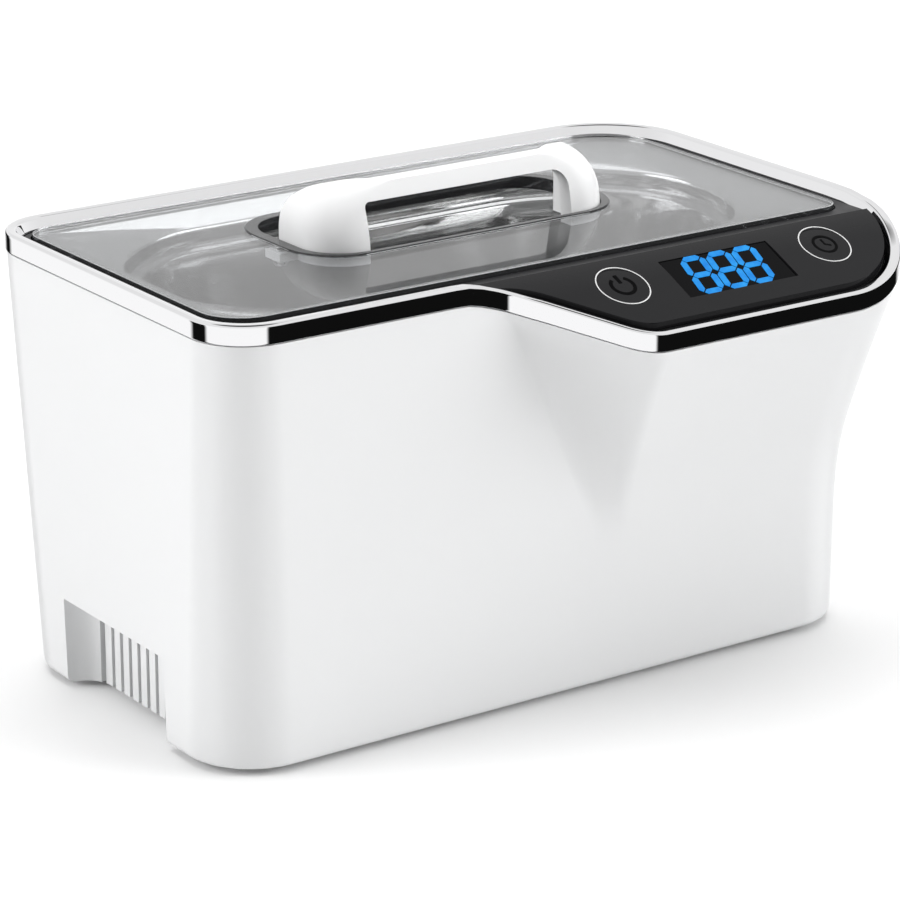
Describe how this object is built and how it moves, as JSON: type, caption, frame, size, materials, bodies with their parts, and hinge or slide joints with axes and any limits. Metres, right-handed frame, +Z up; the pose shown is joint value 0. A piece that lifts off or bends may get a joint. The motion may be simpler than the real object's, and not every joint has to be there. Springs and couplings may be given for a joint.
{
  "type": "ultrasonic cleaner",
  "caption": "Tabletop ultrasonic cleaner with a steel tank, sloping touch panel with a digital display, chrome rim and a smoked lift-off lid with a hand grip.",
  "frame": {"origin": "centre of the footprint of the whole object, on the surface that it stands on", "axes": "+X along the long side towards the control pod's side, -Y out of the front with the pod, +Z up"},
  "size_m": [0.21, 0.142, 0.135],
  "materials": {
    "white_plastic": "gloss",
    "black_plastic": "fine texture",
    "gloss_black": "gloss",
    "chrome": "polished",
    "steel": "satin",
    "rubber": "matt",
    "smoke_glass": "polished, smoke grey",
    "display_glass": "polished, dark",
    "circuit_board": "satin",
    "ceramic": "matt",
    "brass": "satin",
    "aluminium": "turned",
    "ferrite": "matt",
    "copper_wire": "lacquered wire",
    "fuse_glass": "clear",
    "lead_insulation": "matt"
  },
  "bodies": {
    "cleaner": {"base_cover": "white_plastic", "base_screw_1": "steel", "base_screw_2": "steel", "base_screw_3": "steel", "base_screw_4": "steel", "board_screw_1": "steel", "board_screw_2": "steel", "board_screw_3": "steel", "board_screw_4": "steel", "choke": "copper_wire", "chrome_trim": "chrome", "control_board": "circuit_board", "control_panel": "gloss_black", "display_module": "black_plastic", "display_window": "display_glass", "electrode_lower": "brass", "electrode_upper": "brass", "filter_capacitor": "black_plastic", "foot_1": "rubber", "foot_2": "rubber", "foot_3": "rubber", "foot_4": "rubber", "heat_sink": "aluminium", "housing": "white_plastic", "inlet_lead_1": "lead_insulation", "inlet_lead_2": "lead_insulation", "inlet_pin_1": "brass", "inlet_pin_2": "brass", "main_board": "circuit_board", "mains_fuse": "fuse_glass", "panel_cable": "lead_insulation", "piezo_ring_lower": "ceramic", "piezo_ring_upper": "ceramic", "power_inlet": "black_plastic", "tank": "steel", "tank_gasket": "rubber", "top_frame": "black_plastic", "touch_spring_power": "steel", "touch_spring_time": "steel", "transducer_back_mass": "steel", "transducer_bolt": "steel", "transducer_front_mass": "aluminium", "transducer_lead_1": "lead_insulation", "transducer_lead_2": "lead_insulation", "transformer_core": "ferrite", "transformer_winding": "copper_wire", "transistor_1": "black_plastic", "transistor_2": "black_plastic"},
    "lid_assembly": {"lid": "smoke_glass", "lid_handle": "white_plastic", "handle_screw_1": "steel", "handle_screw_2": "steel"}
  },
  "joints": [
    {"name": "lid_lift", "type": "slide", "parent": "cleaner", "child": "lid_assembly", "axis": [0, 0, 1], "range_m": [0, 0.08]}
  ]
}
